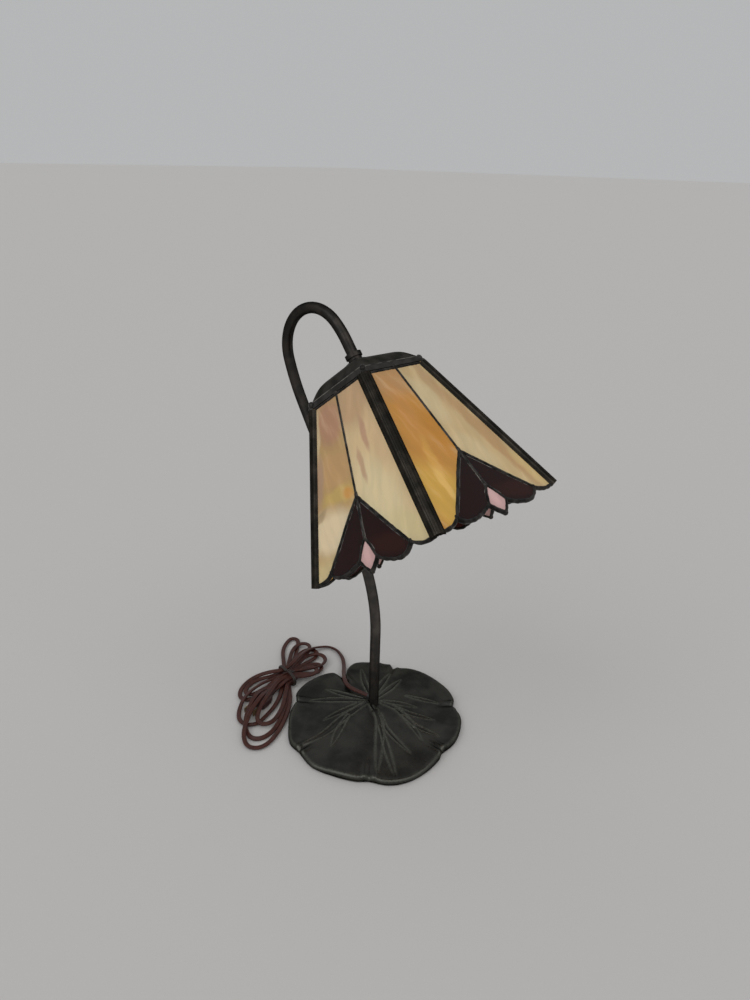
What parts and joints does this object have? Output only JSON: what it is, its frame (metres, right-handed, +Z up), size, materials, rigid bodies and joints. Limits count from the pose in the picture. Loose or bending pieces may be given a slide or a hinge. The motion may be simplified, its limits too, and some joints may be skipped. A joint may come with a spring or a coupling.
{
  "type": "table lamp",
  "caption": "Stained glass table lamp: lily-pad foot, swan-neck stem, tilted four-sided leaded-glass shade, bulb socket with turn switch and a tied mains cord.",
  "frame": {"origin": "on the surface the lamp stands on, straight below the foot of the stem", "axes": "+X the way the shade hangs, +Y the lamp's left, +Z up"},
  "size_m": [0.3442, 0.2465, 0.4757],
  "materials": {
    "leaf_bronze": "dark bronze patina on a cast leaf, satin, worn on the vein ridges",
    "stem_bronze": "dark brown-black bronze lacquer, satin",
    "shade_bronze": "near-black bronze patina, low satin",
    "solder": "dark patinated solder, uneven, brighter on its high spots",
    "amber_glass": "opalescent art glass, amber with wispy streaks, glossy",
    "cream_glass": "opalescent art glass, cream with tan streaks, glossy",
    "plum_glass": "dark red-brown cathedral glass, glossy",
    "pink_glass": "pale pink opalescent glass, glossy",
    "felt": "dark felt",
    "cord": "reddish-brown PVC insulation, slight sheen",
    "cord_tie": "brown plastic twist tie",
    "plug": "brown moulded plug",
    "brass": "thin pressed brass, lightly tarnished",
    "steel": "zinc plated",
    "aluminium": "bright rolled shell",
    "liner": "fibre insulating sleeve",
    "black_plastic": "black phenolic",
    "bulb_glass": "frosted white"
  },
  "bodies": {
    "lamp": {"back_bud": "pink_glass", "back_lead": "solder", "back_petal_left": "amber_glass", "back_petal_right": "cream_glass", "back_sepal_left": "plum_glass", "back_sepal_right": "plum_glass", "base_locknut": "steel", "base_washer": "steel", "cap_locknut": "brass", "cap_nipple": "steel", "cap_washer": "brass", "cord_bushing": "black_plastic", "cord_hank": "cord", "cord_lead": "cord", "cord_tie": "cord_tie", "felt_pad": "felt", "front_bud": "pink_glass", "front_lead": "solder", "front_petal_left": "amber_glass", "front_petal_right": "cream_glass", "front_sepal_left": "plum_glass", "front_sepal_right": "plum_glass", "inner_cord": "cord", "leaf_base": "leaf_bronze", "left_bud": "pink_glass", "left_lead": "solder", "left_petal_left": "amber_glass", "left_petal_right": "cream_glass", "left_sepal_left": "plum_glass", "left_sepal_right": "plum_glass", "neck_collar": "stem_bronze", "neck_tube": "stem_bronze", "plug_blades": "brass", "plug_body": "plug", "rib_back_left": "shade_bronze", "rib_back_right": "shade_bronze", "rib_front_left": "shade_bronze", "rib_front_right": "shade_bronze", "right_bud": "pink_glass", "right_lead": "solder", "right_petal_left": "amber_glass", "right_petal_right": "cream_glass", "right_sepal_left": "plum_glass", "right_sepal_right": "plum_glass", "shade_cap": "shade_bronze", "socket_body": "black_plastic", "socket_cap": "brass", "socket_contact": "brass", "socket_liner": "liner", "socket_screw_shell": "aluminium", "socket_shell": "brass", "socket_terminals": "brass", "solder_joints": "solder"},
    "bulb_carrier": {"bulb_foot_contact": "steel"},
    "bulb": {"bulb_glass": "bulb_glass", "bulb_screw_base": "aluminium"},
    "switch": {"switch_shaft": "brass", "switch_knob": "black_plastic"}
  },
  "joints": [
    {"name": "bulb_travel", "type": "slide", "parent": "lamp", "child": "bulb_carrier", "axis": [0.6056, -0.034, -0.795], "range_m": [0, 0.01815]},
    {"name": "bulb_turn", "type": "hinge", "parent": "bulb_carrier", "child": "bulb", "pos_m": [-0.02041, -0.00098, 0.40255], "axis": [0.6056, -0.034, -0.795], "range_deg": [0, 1800]},
    {"name": "switch_turn", "type": "hinge", "parent": "lamp", "child": "switch", "pos_m": [-0.01465, -0.0013, 0.395], "axis": [-0.7957, -0.0131, -0.6056], "continuous": true}
  ],
  "couplings": [
    {"joint": "bulb_travel", "follows": "bulb_turn", "m_per_rad": 0.00057751}
  ]
}
